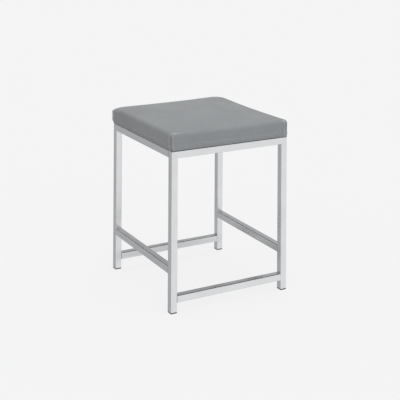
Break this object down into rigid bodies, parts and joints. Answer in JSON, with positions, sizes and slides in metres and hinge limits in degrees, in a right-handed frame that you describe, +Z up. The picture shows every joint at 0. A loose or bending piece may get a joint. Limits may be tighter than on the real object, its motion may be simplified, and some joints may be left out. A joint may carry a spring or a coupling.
{
  "type": "vanity stool",
  "caption": "Backless vanity stool: a square metal tube frame with low stretchers carries a flat, boxed leatherette seat pad for one sitter.",
  "frame": {"origin": "centre of the footprint, on the floor", "axes": "+Z up, +X to the right and +Y to the rear, seen from the front"},
  "size_m": [0.3692, 0.3692, 0.4737],
  "materials": {
    "frame_steel": "polished, bright silver, soft reflections",
    "glide_plastic": "moulded black, matte",
    "zinc_hardware": "zinc plated",
    "plywood": "raw plywood",
    "foam": "open-cell foam",
    "leatherette": "fine grained, satin grey",
    "dust_cloth": "non-woven black cloth"
  },
  "bodies": {
    "root": {"leg_front_left": "frame_steel", "leg_front_right": "frame_steel", "leg_rear_left": "frame_steel", "leg_rear_right": "frame_steel", "top_rail_front": "frame_steel", "top_rail_rear": "frame_steel", "top_rail_left": "frame_steel", "top_rail_right": "frame_steel", "side_stretcher_left": "frame_steel", "side_stretcher_right": "frame_steel", "foot_rail_front": "frame_steel", "foot_rail_rear": "frame_steel", "corner_plate_front_left": "frame_steel", "corner_plate_front_right": "frame_steel", "corner_plate_rear_left": "frame_steel", "corner_plate_rear_right": "frame_steel", "foot_glide_front_left": "glide_plastic", "foot_glide_front_right": "glide_plastic", "foot_glide_rear_left": "glide_plastic", "foot_glide_rear_right": "glide_plastic", "seat_bolt_front_left": "zinc_hardware", "seat_bolt_front_right": "zinc_hardware", "seat_bolt_rear_left": "zinc_hardware", "seat_bolt_rear_right": "zinc_hardware", "seat_washer_front_left": "zinc_hardware", "seat_washer_front_right": "zinc_hardware", "seat_washer_rear_left": "zinc_hardware", "seat_washer_rear_right": "zinc_hardware", "tee_nut_front_left": "zinc_hardware", "tee_nut_front_right": "zinc_hardware", "tee_nut_rear_left": "zinc_hardware", "tee_nut_rear_right": "zinc_hardware", "staple_front_1": "zinc_hardware", "staple_front_2": "zinc_hardware", "staple_front_3": "zinc_hardware", "staple_rear_1": "zinc_hardware", "staple_rear_2": "zinc_hardware", "staple_rear_3": "zinc_hardware", "staple_left_1": "zinc_hardware", "staple_left_2": "zinc_hardware", "staple_left_3": "zinc_hardware", "staple_right_1": "zinc_hardware", "staple_right_2": "zinc_hardware", "staple_right_3": "zinc_hardware", "seat_board": "plywood", "seat_foam": "foam", "seat_cover": "leatherette", "dust_cover": "dust_cloth"}
  },
  "joints": []
}
